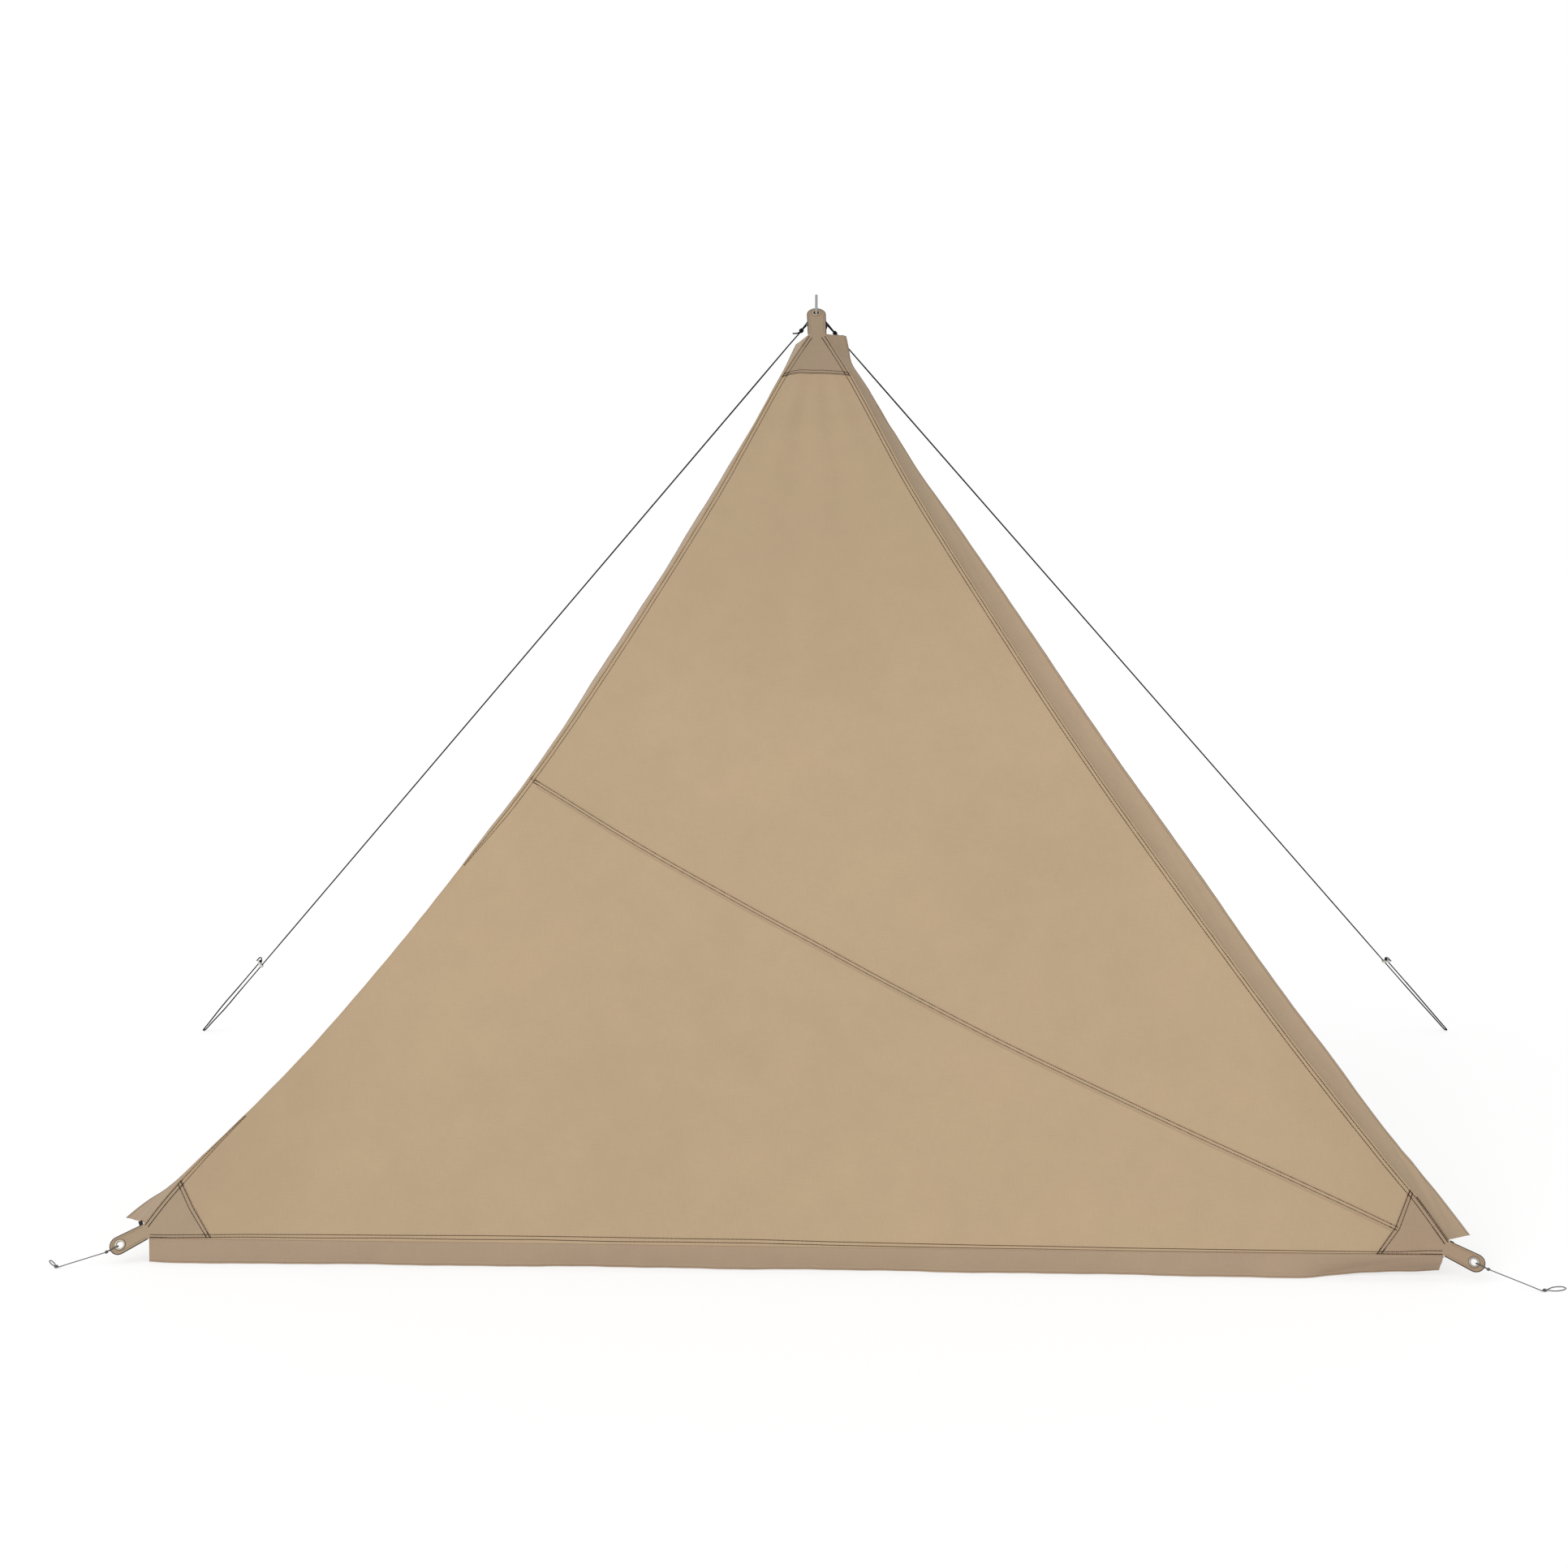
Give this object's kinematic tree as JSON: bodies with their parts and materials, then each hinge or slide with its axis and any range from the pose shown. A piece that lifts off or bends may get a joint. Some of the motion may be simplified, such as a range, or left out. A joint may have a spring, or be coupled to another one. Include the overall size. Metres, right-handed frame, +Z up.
{
  "type": "camping tarp",
  "caption": "Three-cornered canvas tarp pitched as a lean-to on an upright pole, with side and bottom skirts, corner eyelets, guy ropes with runners and peg cords.",
  "frame": {"origin": "centre of the pole's foot, on the ground", "axes": "+Z up along the pole; +X to the right along the bottom edge, seen from the front; the tarp slopes down towards -Y, its front"},
  "size_m": [4.6238, 2.9291, 2.5349],
  "materials": {
    "canvas": "matt tan polycotton canvas",
    "webbing": "black woven webbing",
    "rope": "black braided rope",
    "cord": "grey elastic cord",
    "eyelet": "plated steel, satin",
    "steel": "plated steel rod, satin",
    "aluminium": "anodised tube, satin",
    "plastic": "pale translucent nylon",
    "rubber": "moulded black rubber"
  },
  "bodies": {
    "lower_pole": {"pole_lower": "aluminium", "pole_foot_cap": "rubber"},
    "middle_pole": {"pole_middle": "aluminium"},
    "upper_pole": {"pole_upper": "aluminium", "pole_top_cap": "rubber", "pole_pin": "steel", "guy_rope_left": "rope", "guy_knot_left": "rope", "guy_stopper_left": "rope", "guy_rope_right": "rope", "guy_knot_right": "rope", "guy_stopper_right": "rope"},
    "tarp": {"upper_panel": "canvas", "lower_panel": "canvas", "diagonal_seam": "canvas", "left_hem": "canvas", "right_hem": "canvas", "bottom_hem": "canvas", "left_skirt": "canvas", "right_skirt": "canvas", "top_tab": "canvas", "top_backing": "canvas", "top_strap": "webbing", "top_eyelet": "eyelet", "top_washer": "eyelet", "left_tab": "canvas", "left_backing": "canvas", "left_strap": "webbing", "left_eyelet": "eyelet", "left_washer": "eyelet", "right_tab": "canvas", "right_backing": "canvas", "right_strap": "webbing", "right_eyelet": "eyelet", "right_washer": "eyelet", "peg_cord_left": "cord", "peg_hitch_left": "cord", "peg_knot_left": "cord", "peg_cord_right": "cord", "peg_hitch_right": "cord", "peg_knot_right": "cord"},
    "bottom_flap": {"bottom_skirt": "canvas"},
    "left_runner": {"runner_left": "plastic"},
    "right_runner": {"runner_right": "plastic"}
  },
  "joints": [
    {"name": "middle_section_slide", "type": "slide", "parent": "lower_pole", "child": "middle_pole", "axis": [0, 0, 1], "range_m": [0, 0.1]},
    {"name": "upper_section_slide", "type": "slide", "parent": "middle_pole", "child": "upper_pole", "axis": [0, 0, 1], "range_m": [0, 0.1]},
    {"name": "eyelet_lift", "type": "slide", "parent": "upper_pole", "child": "tarp", "axis": [0, 0, 1], "range_m": [0, 0.06]},
    {"name": "bottom_flap_hinge", "type": "hinge", "parent": "tarp", "child": "bottom_flap", "pos_m": [0, -1.40817, 0.06175], "axis": [1, 0, 0], "range_deg": [-75, 75]},
    {"name": "left_runner_slide", "type": "slide", "parent": "upper_pole", "child": "left_runner", "axis": [-0.6403, 0.3428, -0.6874], "range_m": [0, 0.1]},
    {"name": "right_runner_slide", "type": "slide", "parent": "upper_pole", "child": "right_runner", "axis": [0.6272, 0.3903, -0.674], "range_m": [0, 0.1]}
  ]
}
